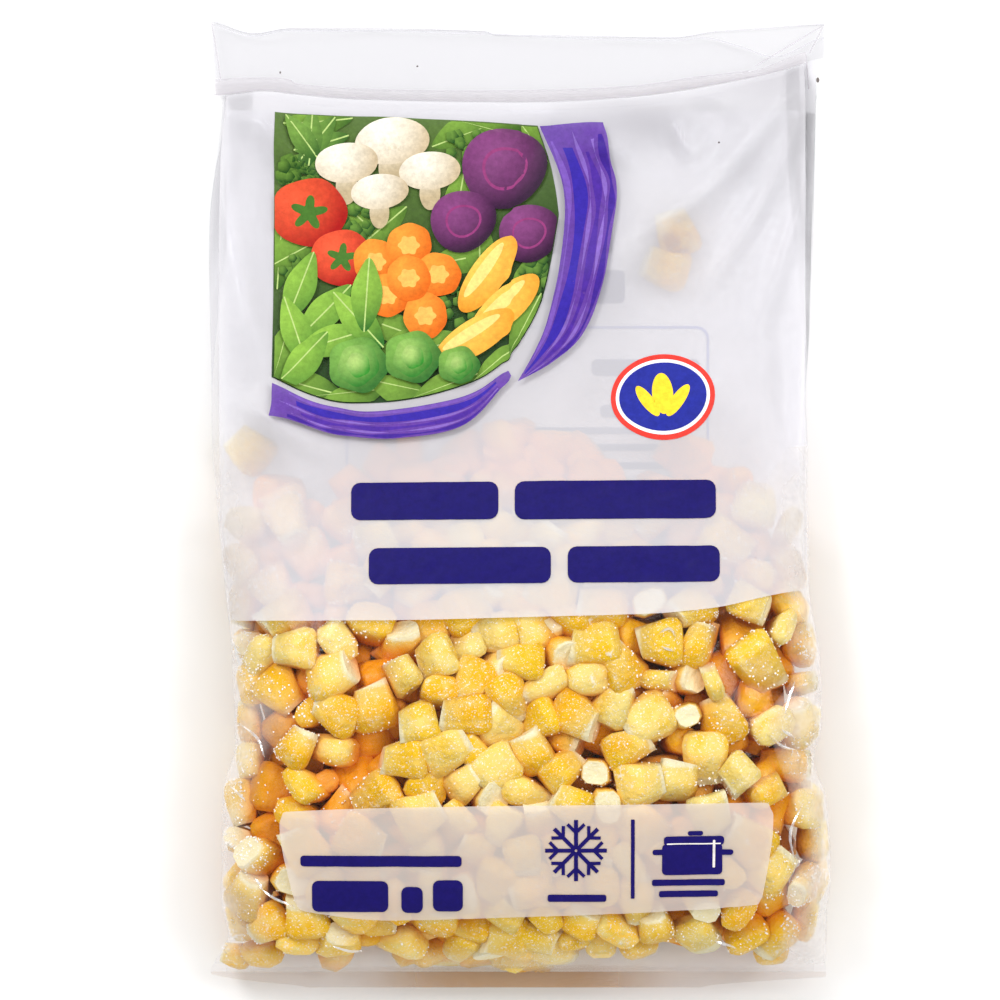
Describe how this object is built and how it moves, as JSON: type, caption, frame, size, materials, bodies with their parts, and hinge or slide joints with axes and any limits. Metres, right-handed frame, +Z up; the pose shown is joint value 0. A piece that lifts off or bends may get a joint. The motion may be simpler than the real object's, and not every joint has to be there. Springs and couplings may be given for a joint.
{
  "type": "bag of frozen sweetcorn",
  "caption": "Side-gusseted clear film bag of frozen sweetcorn kernels with a printed upper half, lying on its back with the printed front up.",
  "frame": {"origin": "centre of the bounding box's base, on the floor that the bag lies on", "axes": "+Z up out of the printed front, +Y along the bag to the header with the top seal, +X to the right of the front as it is read"},
  "size_m": [0.1497, 0.2328, 0.0403],
  "materials": {
    "film": "clear glossy film over golden sweetcorn kernels",
    "corn": "waxy frozen sweetcorn kernels with a little frost",
    "white_print": "translucent white print on the film",
    "ink": "navy, violet and other inks printed on the film"
  },
  "bodies": {
    "root": {"corn_bag": "film"}
  },
  "joints": []
}
